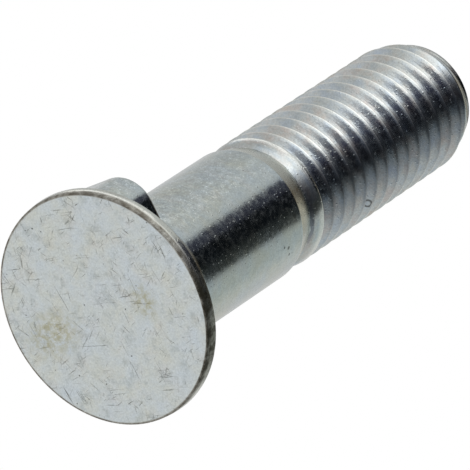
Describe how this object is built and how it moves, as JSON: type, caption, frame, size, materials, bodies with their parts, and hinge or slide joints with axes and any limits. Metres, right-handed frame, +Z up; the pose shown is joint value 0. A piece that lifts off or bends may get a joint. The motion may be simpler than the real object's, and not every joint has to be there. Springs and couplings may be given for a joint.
{
  "type": "plow bolt",
  "caption": "Plow bolt with a flat countersunk head, a single nib beside the shank, a plain shank and a coarse rolled thread with a tapered point.",
  "frame": {"origin": "centre of the head's flat face, which the bolt stands on", "axes": "+Z up the bolt's axis from the head to the point, the nib faces -Y"},
  "size_m": [0.0204, 0.0204, 0.05],
  "materials": {
    "zinc_plated_steel": "bright zinc plating over steel, scuffed on the head's face"
  },
  "bodies": {
    "root": {"plow_bolt": "zinc_plated_steel"}
  },
  "joints": []
}
